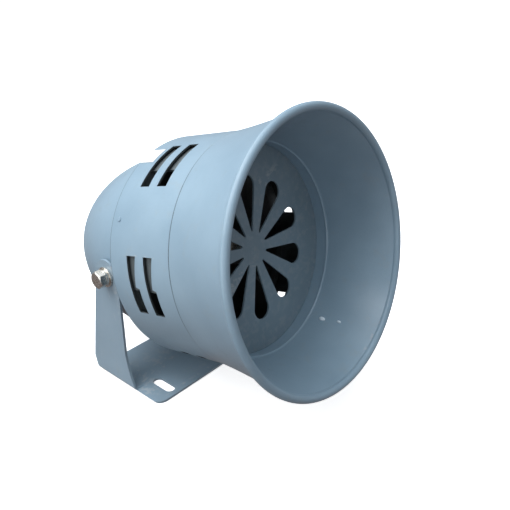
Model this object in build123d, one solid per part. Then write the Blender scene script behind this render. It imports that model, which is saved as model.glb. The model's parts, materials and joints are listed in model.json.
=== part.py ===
from build123d import *
import math
import os

# Motor siren: a bell-mouthed horn, a slotted sound drum and a domed motor housing
# that tilt together in a U bracket.  Millimetres and degrees, +Z up, mouth towards -Y.
# The origin is on the bracket's underside, midway between the two fixing slots.

# ---- driving sizes ---------------------------------------------------------

# Pose of the head in the bracket
HEAD_TILT = 13.0            # nose-up angle at rest
PIVOT_HEIGHT = 79.5         # pivot axis above the bracket's underside
PIVOT_STATION = 119.0       # pivot axis behind the lip of the horn
FIT_GAP = 0.1               # clearance between nested pieces that are fixed together
RUN_GAP = 0.05              # radial clearance of a turning fit

# Horn: stations are distances behind the centre plane of the lip bead
LIP_R = 80.0                # centre circle of the rolled lip
BEAD_R = 2.5                # section radius of the rolled lip
SKIN_T = 1.0                # sheet of the bell and of its outer shell
THROAT_R = 65.4             # inside radius of the neck
THROAT_STATION = 45.0       # where the flare turns into the neck
NECK_END = 59.0
BELL_SAG = 1.6              # how far the bell's wall bows inwards
SHELL_SAG = 0.6             # how far the outer shell's wall bows inwards
SHELL_FRONT_R = 79.6
SEAM_STATION = 48.5         # joint between the shell and the slotted body
SEAM_GAP = 0.4
SHELL_PROUD = 0.5           # the shell's rear edge stands out past the body
SPIGOT_LENGTH = 6.5

# Slotted body
BODY_R = 72.0
BODY_T = 1.2
BODY_END = 101.8
SLOT_GROUPS = 6
SLOT_STATIONS = (66.9, 81.7)
SLOT_WIDTH = 7.8
SLOT_LENGTH = 34.6
SLOT_TOOTH = 3.0            # depth of the step half way along the slots of every second group
SLOT_TOOTH_AT = -1.5        # where the step is, from the middle of the slot

# Front plate with its petal-shaped sound openings
PLATE_STATION = 53.9
PLATE_T = 1.2
PETALS = 10
PETAL_START = 22.5          # angle of the first petal from the pivot axis
PETAL_INNER_R = 10.8
PETAL_OUTER_R = 45.8
PETAL_END_R = 6.8           # rounded outer end of a petal
PETAL_TIP_R = 0.7           # rounded inner tip of a petal

# Rear housing: a short cylinder, bowed sides and a ball-shaped nose
DOME_R = 62.5
DOME_T = 1.2
DOME_START = 112.0          # station where the sides begin to close in
DOME_DEPTH = 90.0
DOME_NOSE_R = 49.5
FLANGE_T = 1.2
FLANGE_SCREWS = 4
SCREW_START = 45.0          # first screw of every ring of four, from the pivot axis
FLANGE_INSET = 1.2          # the body's rear edge stands past the flange

# Motor plate
MOTOR_PLATE_T = 2.0
MOTOR_PLATE_RIM = 6.0
MOTOR_RIM_T = 1.2
GASKET_T = 0.8

# Chopper rotor
ROTOR_FRONT = 61.0
ROTOR_BACK = 90.0
ROTOR_T = 2.0
ROTOR_EYE_R = 30.0          # opening between the vanes at the front
ROTOR_HUB_R = 11.0
ROTOR_HUB_FRONT = 70.0
ROTOR_SHUTTER_T = 1.6
ROTOR_SHUTTER_ANGLE = 30.0
ROTOR_CLEARANCE = 1.2       # between the rotor's shutters and the body
ROTOR_START = 12.0          # angle of the first vane at rest: each shutter half covers its slots
VANE_T = 2.2
ROTOR_WASHER_R = 6.0
ROTOR_WASHER_T = 1.2

# Motor
SHAFT_R = 4.0
SHAFT_NOSE_R = 3.0
SHAFT_NOSE_LENGTH = 8.0
CORE_R = 30.0
CORE_YOKE = 4.0
CORE_LENGTH = 30.0
ARMATURE_R = 14.5
AIR_GAP = 0.5
POLE_SHOE_T = 2.5
POLE_NECK = 12.0
POLE_SHOE_ANGLE = 104.0
COIL_W = 4.5
COIL_T = 4.5
ARMATURE_SLOTS = 12
ARMATURE_SLOT_R = 1.9
ARMATURE_SLOT_MOUTH = 1.4
END_TURN_R = 13.0           # varnished bundles at the ends of the armature
END_TURN_LENGTH = 8.0
COMMUTATOR_R = 9.0
COMMUTATOR_LENGTH = 12.0
COMMUTATOR_CUT = 0.5        # width of the cuts between the bars
BRUSH_W = 5.0
BRUSH_LENGTH = 12.0
BRUSH_GAP = 0.3             # between a brush and the commutator
HOLDER_W = 9.0
HOLDER_PROUD = 4.0          # how far a holder stands out of the motor
CAP_R = 4.4
CAP_T = 2.0
END_BELL_R = 36.5
END_BELL_T = 4.0
END_BELL_SKIRT = 3.0        # wall of the skirts and of the bosses
END_BELL_EAR_R = 3.6
END_BELL_SPACE = 12.5       # end turns between an end bell and the core
BRUSH_SPACE = 24.0          # commutator and brushes behind the rear end turns
THROUGH_BOLT_R = 33.4       # pitch radius of the motor's through bolts
BUSHING_WALL = 3.0
BUSHING_LENGTH = 10.0
REAR_BUSHING_LENGTH = 8.0
MOTOR_SCREW_PITCH_R = 24.0

# Bracket
ARM_T = 1.6
ARM_GAP = 1.5               # between an arm and the housing
ARM_TOP_R = 10.8
ARM_WAIST = 9.9             # upright front edge of the arm, ahead of the pivot
ARM_FLARE = 34.0            # height at which the front edge starts to sweep forward
ARM_FRONT = 17.0            # foot of the arm ahead of the pivot
ARM_REAR = 25.0             # widest part of the arm behind the pivot
ARM_REAR_HEIGHT = 11.0      # height of the widest part
BASE_T = 1.6
BASE_FRONT = 39.6           # front edge ahead of the pivot
BASE_REAR = 22.0            # rear edge behind the pivot
BASE_CORNER_R = 8.0
BEND_R = 2.0                # inside radius of the bend
RELIEF_R = 1.2              # notch where an arm's front edge meets the base
FIXING_SPACING = 99.0       # centre to centre of the fixing slots
FIXING_AHEAD = 26.8         # fixing slots ahead of the pivot
FIXING_WIDTH = 7.0
FIXING_LENGTH = 18.0

# Pivot hardware, M6
BOLT_R = 3.0
BOLT_HEAD_AF = 10.0
BOLT_HEAD_H = 4.6
FLAT_WASHER_R = 6.5
FLAT_WASHER_T = 1.4
SPRING_WASHER_R = 5.4
SPRING_WASHER_T = 1.8
SPRING_WASHER_SPLIT = 1.2
NUT_AF = 10.0
NUT_H = 5.0

# Small screws, M3 and M4
SMALL_SCREW_R = 1.5
SMALL_HEAD_R = 2.9
SMALL_HEAD_H = 2.0
SMALL_NUT_AF = 5.5
SMALL_NUT_H = 2.4
RIVET_R = 1.2
RIVET_HEAD_R = 1.7
RIVET_HEAD_H = 0.8
STATOR_RIVETS = 3
SIDE_RIVETS = 3
SIDE_RIVET_START = 30.0
SIDE_RIVET_R = 0.9
SIDE_RIVET_HEAD_R = 1.4
SIDE_RIVET_HEAD_H = 0.6
SIDE_RIVET_AHEAD = 1.6      # ahead of the motor plate
MOTOR_SCREW_R = 2.0
MOTOR_HEAD_R = 3.6
MOTOR_HEAD_H = 2.6

# Cable grommet under the dome, terminal block and label
GROMMET_STATION = 150.0
GROMMET_HOLE_R = 5.5
GROMMET_FLANGE_R = 8.5
GROMMET_CABLE_R = 3.2
GROMMET_LIP = 2.2
TERMINAL_SIZE = (24.0, 12.0, 14.0)
TERMINAL_DROP = 47.0        # middle of the block below the axis
TERMINAL_PITCH = 7.0
TERMINAL_SCREW_R = 2.2
TERMINAL_SCREW_SUNK = 4.0
LABEL_ANGLES = (61.0, 71.0)
LABEL_STATIONS = (88.5, 100.5)
LABEL_T = 0.25

# ---- sizes that follow -----------------------------------------------------

BODY_IN = BODY_R - BODY_T
NEST_R = BODY_IN - FIT_GAP              # what slides into the body
FLANGE_BACK = BODY_END - FLANGE_INSET
FLANGE_FRONT = FLANGE_BACK - FLANGE_T
PLATE_BACK = FLANGE_FRONT - GASKET_T    # rear face of the motor plate
PLATE_FRONT = PLATE_BACK - MOTOR_PLATE_T
DOME_IN = DOME_R - DOME_T
FLANGE_PITCH_R = (DOME_R + NEST_R - MOTOR_RIM_T) / 2
SIDE_RIVET_STATION = PLATE_FRONT - SIDE_RIVET_AHEAD
BRUSH_SEAT = CORE_R + HOLDER_PROUD      # outer end of a brush holder
ARM_IN = DOME_R + ARM_GAP
ARM_OUT = ARM_IN + ARM_T
BODY_START = SEAM_STATION + SEAM_GAP / 2
SHELL_END = SEAM_STATION - SEAM_GAP / 2

BUSHING_R = SHAFT_R + RUN_GAP + BUSHING_WALL
FRONT_BELL_BACK = PLATE_BACK + END_BELL_T
THROUGH_BOLT_TIP = PLATE_BACK + END_BELL_T / 2
CORE_FRONT = FRONT_BELL_BACK + END_BELL_SPACE
CORE_BACK = CORE_FRONT + CORE_LENGTH
REAR_BELL_FRONT = CORE_BACK + BRUSH_SPACE
REAR_BELL_BACK = REAR_BELL_FRONT + END_BELL_T
COMMUTATOR_FRONT = REAR_BELL_FRONT - COMMUTATOR_LENGTH - 1.5
COMMUTATOR_BACK = COMMUTATOR_FRONT + COMMUTATOR_LENGTH
BRUSH_STATION = (COMMUTATOR_FRONT + COMMUTATOR_BACK) / 2
BUSHING_FRONT = PLATE_BACK - BUSHING_LENGTH + END_BELL_T + 3.0
CORE_IN = CORE_R - CORE_YOKE
POLE_R = ARMATURE_R + AIR_GAP
SHAFT_FRONT = ROTOR_HUB_FRONT - SHAFT_NOSE_LENGTH + 1.0
ROTOR_R = BODY_IN - ROTOR_CLEARANCE

# Station space (x, station, z) is moved so that the pivot axis is on the X axis,
# tilted nose up, and lifted into the bracket.
HEAD = Location((0, FIXING_AHEAD, PIVOT_HEIGHT), (-HEAD_TILT, 0, 0)) * Location((0, -PIVOT_STATION, 0))

os.makedirs("parts", exist_ok=True)


# ---- shared building blocks ------------------------------------------------

def save(name, solids, place=Location()):
    """Write one node: a solid, or a group of separate identical solids."""
    group = [place * solid for solid in solids] if isinstance(solids, list) else [place * solids]
    node = group[0] if len(group) == 1 else Compound(children=group)
    node.label = name
    export_step(node, f"parts/{name}.step")


def turn(*edges):
    """Revolve a closed outline of (radius, station) edges about the head's axis."""
    outline = make_face(Curve() + list(edges))
    return revolve(outline, Axis.Y)


def ring(inner_r, outer_r, front, back):
    """A plain ring, or a disc when the inner radius is nought."""
    section = Polyline((inner_r, front), (outer_r, front), (outer_r, back), (inner_r, back), close=True)
    return turn(section)


def rod(radius, front, back, x=0.0, z=0.0):
    """A solid round bar along the head's axis."""
    return Location((x, 0, z)) * ring(0, radius, front, back)


def around(solid, count, start=0.0):
    """Copies of a solid made at the -X side, spaced evenly about the head's axis."""
    return [Rot(0, start + 360 / count * i, 0) * solid for i in range(count)]


def side_rod(radius, inner, outer, station=0.0):
    """A round bar along X on the -X side, between two distances from the axis."""
    plane = Plane(origin=(-inner, station, 0), z_dir=(-1, 0, 0))
    return extrude(plane * Circle(radius), outer - inner)


def side_hexagon(across_flats, inner, outer, station=0.0):
    """A hexagonal bar along X on the -X side."""
    plane = Plane(origin=(-inner, station, 0), z_dir=(-1, 0, 0))
    return extrude(plane * RegularPolygon(across_flats / 2, 6, major_radius=False), outer - inner)


def axial_hexagon(across_flats, front, back):
    """A hexagonal bar along the head's axis."""
    plane = Plane(origin=(0, front, 0), z_dir=(0, 1, 0))
    hexagon = RegularPolygon(across_flats / 2, 6, major_radius=False, rotation=30)
    return extrude(plane * hexagon, back - front)


def pan_screw(radius, head_r, head_h, seat, tip, direction):
    """A pan-head screw on the axis: seat and tip are stations, direction points to the head."""
    low, high = sorted((seat, tip))
    shank = ring(0, radius, low, high)
    low, high = sorted((seat, seat + direction * head_h))
    head = ring(0, head_r, low, high)
    top = head.faces().sort_by(Axis.Y)[-1 if direction > 0 else 0]
    return shank + fillet(top.edges(), head_h * 0.6)


def wedge(angle):
    """A sector of the given angle about the -X side, long enough for any ring of the head."""
    reach = BODY_R * 2
    spread = reach * math.tan(math.radians(angle / 2))
    plane = Plane(origin=(0, 0, 0), x_dir=(-1, 0, 0), z_dir=(0, 1, 0))
    outline = Polyline((0, 0), (reach, -spread), (reach, spread), close=True)
    return extrude(plane * make_face(outline), BODY_END * 2)


def largest(shape):
    """The biggest solid of a cut result."""
    return max(shape.solids(), key=lambda solid: solid.volume)


# ---- horn ------------------------------------------------------------------

def horn():
    """The spun bell: a flaring wall, a short neck behind it and a rolled lip."""
    front_r = LIP_R - BEAD_R + SKIN_T / 2
    middle = ((front_r + THROAT_R) / 2 - BELL_SAG, THROAT_STATION / 2 + BELL_SAG / 4)
    outer_middle = (middle[0] + SKIN_T, middle[1])
    bell = turn(
        ThreePointArc((front_r, 0), middle, (THROAT_R, THROAT_STATION)),
        Line((THROAT_R, THROAT_STATION), (THROAT_R, NECK_END)),
        Line((THROAT_R, NECK_END), (THROAT_R + SKIN_T, NECK_END)),
        Line((THROAT_R + SKIN_T, NECK_END), (THROAT_R + SKIN_T, THROAT_STATION)),
        ThreePointArc((THROAT_R + SKIN_T, THROAT_STATION), outer_middle, (front_r + SKIN_T, 0)),
        Line((front_r + SKIN_T, 0), (front_r, 0)),
    )
    bead = revolve(Location((LIP_R, 0, 0)) * Circle(BEAD_R), Axis.Y)
    return bell + bead - stator_rivet_holes()


def horn_shell():
    """The outer skin: bowed wall, stepped in at the seam, with a spigot inside the body."""
    front = BEAD_R + FIT_GAP
    back_r = BODY_R + SHELL_PROUD
    middle_r = (SHELL_FRONT_R + back_r) / 2 - SHELL_SAG
    middle = (front + SHELL_END) / 2
    spigot_end = SHELL_END + SPIGOT_LENGTH
    return turn(
        ThreePointArc((SHELL_FRONT_R, front), (middle_r, middle), (back_r, SHELL_END)),
        Polyline(
            (back_r, SHELL_END),
            (NEST_R, SHELL_END),
            (NEST_R, spigot_end),
            (NEST_R - SKIN_T, spigot_end),
            (NEST_R - SKIN_T, SHELL_END - SKIN_T),
            (back_r - SKIN_T, SHELL_END - SKIN_T),
        ),
        ThreePointArc(
            (back_r - SKIN_T, SHELL_END - SKIN_T),
            (middle_r - SKIN_T, middle),
            (SHELL_FRONT_R - SKIN_T, front),
        ),
        Line((SHELL_FRONT_R - SKIN_T, front), (SHELL_FRONT_R, front)),
    )


def rivet_station():
    """Middle of the front plate's rim."""
    return (PLATE_STATION + PLATE_T + NECK_END) / 2


def stator_rivet_holes():
    """Holes through the horn's neck and the front plate's rim."""
    hole = side_rod(RIVET_R, THROAT_R - PLATE_T - 1, THROAT_R + SKIN_T + 1, rivet_station())
    return around(hole, STATOR_RIVETS)


def petal():
    """Outline of one petal on the +X side: a narrow tip that widens to a round end."""
    tip = Location((PETAL_INNER_R + PETAL_TIP_R, 0)) * Circle(PETAL_TIP_R)
    end = Location((PETAL_OUTER_R - PETAL_END_R, 0)) * Circle(PETAL_END_R)
    return make_hull(tip.edges() + end.edges())


def stator_plate():
    """The pressed front plate: a disc with petal openings and a turned-back rim."""
    outer_r = THROAT_R - FIT_GAP
    disc = ring(0, outer_r, PLATE_STATION, PLATE_STATION + PLATE_T)
    rim = ring(outer_r - PLATE_T, outer_r, PLATE_STATION, NECK_END)
    ahead = Plane(origin=(0, PLATE_STATION - 1, 0), x_dir=(-1, 0, 0), z_dir=(0, 1, 0))
    petals = around(extrude(ahead * petal(), PLATE_T + 2), PETALS, PETAL_START)
    return disc + rim - petals - stator_rivet_holes()


def stator_rivets():
    """Rivets that hold the front plate's rim in the horn's neck."""
    inner = THROAT_R - FIT_GAP - PLATE_T
    outer = THROAT_R + SKIN_T
    station = rivet_station()
    shank = side_rod(RIVET_R, inner - RIVET_HEAD_H, outer + RIVET_HEAD_H, station)
    outside = side_rod(RIVET_HEAD_R, outer, outer + RIVET_HEAD_H, station) - ring(0, outer, 0, BODY_END)
    inside = side_rod(RIVET_HEAD_R, inner - RIVET_HEAD_H, inner - FIT_GAP, station)
    return around(shank + outside + inside, STATOR_RIVETS)


# ---- slotted body ----------------------------------------------------------

def slot_cutter(station, tooth):
    """One sound slot: straight at the back, and stepped half way along its front edge by the tooth."""
    half = SLOT_LENGTH / 2
    back = station + SLOT_WIDTH / 2
    front = station - SLOT_WIDTH / 2
    plane = Plane(origin=(-BODY_R + 8, 0, 0), x_dir=(0, 1, 0), z_dir=(-1, 0, 0))
    outline = Polyline(
        (back, -half),
        (back, half),
        (front, half),
        (front, -SLOT_TOOTH_AT),
        (front + tooth, -SLOT_TOOTH_AT - 1.0),
        (front, -half),
        close=True,
    )
    return extrude(plane * make_face(outline), 16)


def slotted_body():
    """The drum between horn and dome, with two rows of slots in each group."""
    drum = ring(BODY_IN, BODY_R, BODY_START, BODY_END)
    half = SLOT_GROUPS // 2
    for station in SLOT_STATIONS:
        drum -= around(slot_cutter(station, SLOT_TOOTH), half)
        drum -= around(slot_cutter(station, 0.0), half, 180 / half)
    return drum - side_rivet_holes()


def side_rivet_holes():
    """Holes through the body and the rim of the motor plate."""
    hole = side_rod(SIDE_RIVET_R, NEST_R - MOTOR_RIM_T - 1, BODY_R + 1, SIDE_RIVET_STATION)
    return around(hole, SIDE_RIVETS, SIDE_RIVET_START)


def side_rivets():
    """Small painted rivets through the body into the rim of the motor plate."""
    inner = NEST_R - MOTOR_RIM_T
    outer = BODY_R + SIDE_RIVET_HEAD_H
    shank = side_rod(SIDE_RIVET_R, inner, outer - 0.1, SIDE_RIVET_STATION)
    head = side_rod(SIDE_RIVET_HEAD_R, BODY_R - 1, outer, SIDE_RIVET_STATION)
    head = fillet(head.faces().sort_by(Axis.X)[0].edges(), SIDE_RIVET_HEAD_H * 0.7)
    head -= ring(0, BODY_R, 0, BODY_END)
    return around(shank + head, SIDE_RIVETS, SIDE_RIVET_START)


# ---- rear housing ----------------------------------------------------------

def dome_arcs(inset):
    """The dome's side arc radius, and the station of its ball nose, for a skin inset from the outside."""
    nose = DOME_START + DOME_DEPTH - DOME_NOSE_R
    rise = nose - DOME_START
    side_r = (DOME_R**2 + rise**2 - DOME_NOSE_R**2) / (2 * (DOME_R - DOME_NOSE_R))
    return side_r - inset, nose


def dome_block(inset, front):
    """A solid dome: a cylinder from its open end, a bowed side and a ball nose."""
    side_r, nose = dome_arcs(inset)
    radius = DOME_R - inset
    pole = nose + DOME_NOSE_R - inset
    lean = math.atan2(nose - DOME_START, side_r - radius)
    joint = (radius - side_r + side_r * math.cos(lean), DOME_START + side_r * math.sin(lean))
    return turn(
        Line((radius, front), (radius, DOME_START)),
        TangentArc((radius, DOME_START), joint, tangent=(0, 1)),
        TangentArc(joint, (0, pole), tangent=(-math.sin(lean), math.cos(lean))),
        Polyline((0, pole), (0, front), (radius, front)),
    )


def pivot_holes(radius):
    """Cross holes for the two pivot bolts."""
    hole = side_rod(radius, DOME_IN - 8, ARM_OUT + 5, PIVOT_STATION)
    return around(hole, 2)


def grommet_place():
    """Where the grommet's axis meets the dome: underneath, square to the wall."""
    side_r = dome_arcs(0)[0]
    lean = math.asin((GROMMET_STATION - DOME_START) / side_r)
    radius = DOME_R - side_r + side_r * math.cos(lean)
    return Location((0, GROMMET_STATION, -radius), (math.degrees(lean), 0, 0))


def flange_holes():
    """Clearance holes of the flange screws through flange, gasket and motor plate."""
    hole = rod(SMALL_SCREW_R + FIT_GAP, PLATE_FRONT - 1, FLANGE_BACK + 1, -FLANGE_PITCH_R)
    return around(hole, FLANGE_SCREWS, SCREW_START)


def rear_housing():
    """The deep-drawn dome over the motor, with the flange that closes the body."""
    inside = dome_block(DOME_T, FLANGE_FRONT - 1)
    dome = dome_block(0, FLANGE_FRONT) + ring(0, NEST_R, FLANGE_FRONT, FLANGE_BACK)
    cable_hole = grommet_place() * extrude(Circle(GROMMET_HOLE_R), 4 * DOME_T, both=True)
    return dome - inside - flange_holes() - pivot_holes(BOLT_R + FIT_GAP) - cable_hole


def cable_grommet(housing):
    """Rubber bush in the dome's cable hole, with a lip inside and outside."""
    wall = grommet_place() * Location((0, 0, DOME_T / 2))
    lips = wall * extrude(Circle(GROMMET_FLANGE_R), GROMMET_LIP + DOME_T / 2, both=True)
    bore = wall * extrude(Circle(GROMMET_CABLE_R), GROMMET_FLANGE_R, both=True)
    return largest(lips - housing - bore)


def gasket():
    """Paper ring between the flange and the motor plate."""
    return ring(DOME_IN, NEST_R, PLATE_BACK, FLANGE_FRONT) - flange_holes()


def motor_plate():
    """The bulkhead that carries the motor, with a forward rim inside the body."""
    disc = ring(BUSHING_R + END_BELL_SKIRT + FIT_GAP, NEST_R, PLATE_FRONT, PLATE_BACK)
    rim = ring(NEST_R - MOTOR_RIM_T, NEST_R, PLATE_FRONT - MOTOR_PLATE_RIM, PLATE_BACK)
    hole = rod(MOTOR_SCREW_R + FIT_GAP, PLATE_FRONT - 1, PLATE_BACK + 1, -MOTOR_SCREW_PITCH_R)
    return disc + rim - flange_holes() - around(hole, 4, SCREW_START) - side_rivet_holes()


def flange_screws():
    """Screws from behind through flange, gasket and motor plate."""
    tip = PLATE_FRONT - SMALL_NUT_H - 0.6
    screw = pan_screw(SMALL_SCREW_R, SMALL_HEAD_R, SMALL_HEAD_H, FLANGE_BACK, tip, 1)
    return around(Location((-FLANGE_PITCH_R, 0, 0)) * screw, FLANGE_SCREWS, SCREW_START)


def flange_nuts():
    """Nuts of the flange screws, in front of the motor plate."""
    front = PLATE_FRONT - SMALL_NUT_H
    nut = axial_hexagon(SMALL_NUT_AF, front, PLATE_FRONT)
    nut -= ring(0, SMALL_SCREW_R + FIT_GAP, front - 1, PLATE_FRONT + 1)
    return around(Location((-FLANGE_PITCH_R, 0, 0)) * nut, FLANGE_SCREWS, SCREW_START)


# ---- chopper rotor ---------------------------------------------------------

def rotor():
    """The chopper wheel: back disc, hub, radial vanes and a shutter at the end of each vane."""
    disc_front = ROTOR_BACK - ROTOR_T
    wheel = ring(0, ROTOR_R, disc_front, ROTOR_BACK)
    wheel += ring(0, ROTOR_HUB_R, ROTOR_HUB_FRONT, ROTOR_BACK + 2)
    length = disc_front - ROTOR_FRONT + 0.5
    reach = ROTOR_R - ROTOR_SHUTTER_T / 2
    vane = Location((-reach / 2, ROTOR_FRONT + length / 2, 0)) * Box(reach, length, VANE_T)
    rim = (ROTOR_EYE_R, ROTOR_FRONT - 1)
    hub = (ROTOR_HUB_R, ROTOR_HUB_FRONT)
    eye = turn(Polyline((0, rim[1]), rim, hub, (0, hub[1]), close=True))
    drum = ring(ROTOR_R - ROTOR_SHUTTER_T, ROTOR_R, ROTOR_FRONT, disc_front + 0.5)
    blade = drum & wedge(ROTOR_SHUTTER_ANGLE)
    wheel += around(vane - eye, SLOT_GROUPS, ROTOR_START)
    wheel += around(blade, SLOT_GROUPS, ROTOR_START)
    wheel -= ring(0, SHAFT_R, ROTOR_HUB_FRONT + 2, ROTOR_BACK + 3)
    return wheel - ring(0, SHAFT_NOSE_R, 0, ROTOR_HUB_FRONT + 3)


def rotor_washer():
    """Flat washer under the rotor's nut."""
    return ring(SHAFT_NOSE_R + FIT_GAP, ROTOR_WASHER_R, ROTOR_HUB_FRONT - ROTOR_WASHER_T, ROTOR_HUB_FRONT)


def rotor_nut():
    """Nut on the threaded nose of the shaft."""
    back = ROTOR_HUB_FRONT - ROTOR_WASHER_T
    return axial_hexagon(NUT_AF, back - NUT_H, back) - ring(0, SHAFT_NOSE_R, 0, BODY_END)


def motor_shaft():
    """Ground shaft with a smaller threaded nose for the rotor."""
    nose = ring(0, SHAFT_NOSE_R, SHAFT_FRONT, ROTOR_HUB_FRONT + 2)
    return nose + ring(0, SHAFT_R, ROTOR_HUB_FRONT + 2, REAR_BELL_BACK)


def armature_core():
    """Laminated armature with open winding slots."""
    core = ring(SHAFT_R, ARMATURE_R, CORE_FRONT, CORE_BACK)
    middle = (CORE_FRONT + CORE_BACK) / 2
    depth = 2 * ARMATURE_SLOT_R
    mouth = Location((-ARMATURE_R, middle, 0)) * Box(depth, CORE_LENGTH + 2, ARMATURE_SLOT_MOUTH)
    pocket = rod(ARMATURE_SLOT_R, CORE_FRONT - 1, CORE_BACK + 1, -(ARMATURE_R - depth + FIT_GAP))
    return core - around(mouth + pocket, ARMATURE_SLOTS)


def armature_windings():
    """The two varnished bundles of end turns."""
    front = ring(SHAFT_R, END_TURN_R, CORE_FRONT - END_TURN_LENGTH, CORE_FRONT)
    back = ring(SHAFT_R, END_TURN_R, CORE_BACK, CORE_BACK + END_TURN_LENGTH)
    front_rim = front.faces().sort_by(Axis.Y)[0].edges().sort_by(SortBy.RADIUS)[-1:]
    back_rim = back.faces().sort_by(Axis.Y)[-1].edges().sort_by(SortBy.RADIUS)[-1:]
    return [fillet(front_rim, 3), fillet(back_rim, 3)]


def commutator():
    """Copper drum with cuts between its bars."""
    drum = ring(SHAFT_R, COMMUTATOR_R, COMMUTATOR_FRONT, COMMUTATOR_BACK)
    cut = Box(3 * COMMUTATOR_CUT, COMMUTATOR_LENGTH + 2, COMMUTATOR_CUT)
    return drum - around(Location((-COMMUTATOR_R, BRUSH_STATION, 0)) * cut, ARMATURE_SLOTS)


# ---- motor, fixed pieces ---------------------------------------------------

def field_core():
    """Laminated stator of a two-pole motor."""
    core = ring(CORE_IN, CORE_R, CORE_FRONT, CORE_BACK)
    shoe = ring(POLE_R, POLE_R + POLE_SHOE_T, CORE_FRONT, CORE_BACK) & wedge(POLE_SHOE_ANGLE)
    middle = (CORE_FRONT + CORE_BACK) / 2
    neck_in = POLE_R + POLE_SHOE_T / 2
    neck = Box(CORE_IN + 1 - neck_in, CORE_LENGTH, POLE_NECK)
    neck = Location((-(neck_in + CORE_IN + 1) / 2, middle, 0)) * neck
    return core + around(shoe + neck, 2, 90)


def field_coils():
    """A wound coil round the neck of each pole."""
    middle = (CORE_FRONT + CORE_BACK) / 2
    inner = Rectangle(CORE_LENGTH + 2 * FIT_GAP, POLE_NECK + 2 * FIT_GAP)
    outer = Rectangle(CORE_LENGTH + 2 * COIL_W, POLE_NECK + 2 * COIL_W)
    seat = POLE_R + POLE_SHOE_T + 3 * FIT_GAP
    plane = Plane(origin=(-seat, middle, 0), x_dir=(0, 1, 0), z_dir=(-1, 0, 0))
    loop = extrude(plane * (fillet(outer.vertices(), COIL_W * 0.6) - inner), COIL_T)
    return around(loop, 2, 90)


def through_bolt_holes(front, back):
    """Holes for the bolts that clamp the two end bells on the core."""
    return around(rod(MOTOR_SCREW_R + FIT_GAP, front, back, -THROUGH_BOLT_R), 4, SCREW_START)


def end_bell(front, back, skirt_front, skirt_back):
    """A cast end bell: a round plate, and a skirt that seats on the core."""
    plate = ring(0, END_BELL_R, front, back)
    skirt = ring(CORE_R - END_BELL_SKIRT, CORE_R, skirt_front, skirt_back)
    ears = around(rod(END_BELL_EAR_R, skirt_front, skirt_back, -THROUGH_BOLT_R), 4, SCREW_START)
    return plate + (skirt + ears)


def front_end_bell():
    """Bolted to the motor plate, with the front bushing's boss through its middle."""
    bell = end_bell(PLATE_BACK, FRONT_BELL_BACK, FRONT_BELL_BACK - 0.5, CORE_FRONT)
    boss_back = FRONT_BELL_BACK + END_BELL_SKIRT
    bell += ring(0, BUSHING_R + END_BELL_SKIRT, PLATE_FRONT - 0.5, boss_back)
    bell -= ring(0, BUSHING_R, BUSHING_FRONT, boss_back + 1)
    bell -= ring(0, SHAFT_R + 1, PLATE_FRONT - 1, boss_back + 1)
    hole = rod(MOTOR_SCREW_R, PLATE_BACK - 1, FRONT_BELL_BACK + 1, -MOTOR_SCREW_PITCH_R)
    return bell - around(hole, 4, SCREW_START) - through_bolt_holes(THROUGH_BOLT_TIP - 0.5, CORE_BACK)


def rear_end_bell():
    """Closes the motor behind the brushes and carries the rear bushing."""
    bell = end_bell(REAR_BELL_FRONT, REAR_BELL_BACK, CORE_BACK, REAR_BELL_FRONT + 0.5)
    bell += ring(0, BUSHING_R + END_BELL_SKIRT, REAR_BELL_FRONT, REAR_BELL_BACK + BUSHING_LENGTH / 2)
    bell -= ring(0, BUSHING_R, REAR_BELL_FRONT - 1, REAR_BELL_FRONT + REAR_BUSHING_LENGTH + FIT_GAP)
    side = HOLDER_W + 2 * FIT_GAP
    window = Location((-CORE_R, BRUSH_STATION, 0)) * Box(4 * END_BELL_SKIRT, side, side)
    bell -= around(window, 2)
    return bell - through_bolt_holes(CORE_FRONT, REAR_BELL_BACK + 1)


def bushings():
    """Sintered bushings at the two ends of the shaft."""
    outer = BUSHING_R - RUN_GAP / 2
    front = ring(SHAFT_R + RUN_GAP, outer, BUSHING_FRONT, BUSHING_FRONT + BUSHING_LENGTH)
    end = REAR_BELL_FRONT + REAR_BUSHING_LENGTH
    back = ring(SHAFT_R + RUN_GAP, outer, REAR_BELL_FRONT, end)
    return [front, back]


def through_bolts():
    """Long screws from behind that clamp the motor together."""
    head_r = END_BELL_EAR_R - FIT_GAP
    bolt = pan_screw(MOTOR_SCREW_R, head_r, MOTOR_HEAD_H, REAR_BELL_BACK, THROUGH_BOLT_TIP, 1)
    return around(Location((-THROUGH_BOLT_R, 0, 0)) * bolt, 4, SCREW_START)


def motor_screws():
    """Screws through the motor plate into the front end bell."""
    radius = MOTOR_SCREW_R - FIT_GAP
    screw = pan_screw(radius, MOTOR_HEAD_R, MOTOR_HEAD_H, PLATE_FRONT, FRONT_BELL_BACK, -1)
    return around(Location((-MOTOR_SCREW_PITCH_R, 0, 0)) * screw, 4, SCREW_START)


def brush_holders():
    """Moulded holders in the windows of the rear end bell."""
    inner = COMMUTATOR_R + 3
    length = BRUSH_SEAT - inner
    bore_w = BRUSH_W + 2 * FIT_GAP
    holder = Box(length, HOLDER_W, HOLDER_W) - Box(length + 2, bore_w, bore_w)
    return around(Location((-(inner + BRUSH_SEAT) / 2, BRUSH_STATION, 0)) * holder, 2)


def brushes():
    """Carbon brushes that bear on the commutator."""
    middle = COMMUTATOR_R + BRUSH_GAP + BRUSH_LENGTH / 2
    brush = Location((-middle, BRUSH_STATION, 0)) * Box(BRUSH_LENGTH, BRUSH_W, BRUSH_W)
    return around(brush, 2)


def brush_caps():
    """Slotted caps that close the brush holders."""
    cap = side_rod(CAP_R, BRUSH_SEAT, BRUSH_SEAT + CAP_T, BRUSH_STATION)
    slot = Box(CAP_T, CAP_T / 2, 3 * CAP_R)
    return around(cap - Location((-(BRUSH_SEAT + CAP_T), BRUSH_STATION, 0)) * slot, 2)


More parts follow.
